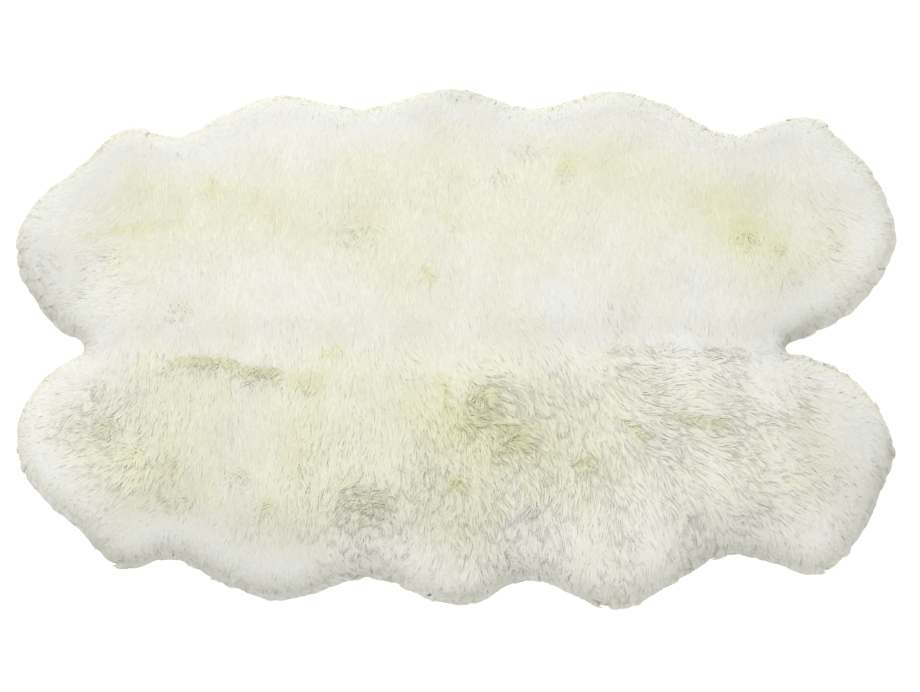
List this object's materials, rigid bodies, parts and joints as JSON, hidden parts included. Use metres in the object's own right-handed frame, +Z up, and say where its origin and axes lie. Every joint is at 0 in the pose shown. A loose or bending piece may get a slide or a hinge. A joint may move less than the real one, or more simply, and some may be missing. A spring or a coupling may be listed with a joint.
{
  "type": "sheepskin rug",
  "caption": "Large ivory sheepskin rug of whole pelts sewn edge to edge, with long wool pile and a scalloped outline, lying flat",
  "frame": {"origin": "centre of the rug's base, on the floor", "axes": "+X along the rug's length, +Y towards its far long side, +Z up out of the pile"},
  "size_m": [1.83, 1.11, 0.0628],
  "materials": {
    "wool_far_left": "soft matte ivory wool",
    "wool_far_right": "soft matte ivory wool",
    "wool_near_left": "soft matte ivory wool",
    "wool_near_right": "soft matte ivory wool",
    "hide": "cream suede",
    "seam_thread": "waxed thread"
  },
  "bodies": {
    "root": {"pelt_far_left": "wool_far_left", "pelt_far_right": "wool_far_right", "pelt_near_left": "wool_near_left", "pelt_near_right": "wool_near_right"}
  },
  "joints": []
}
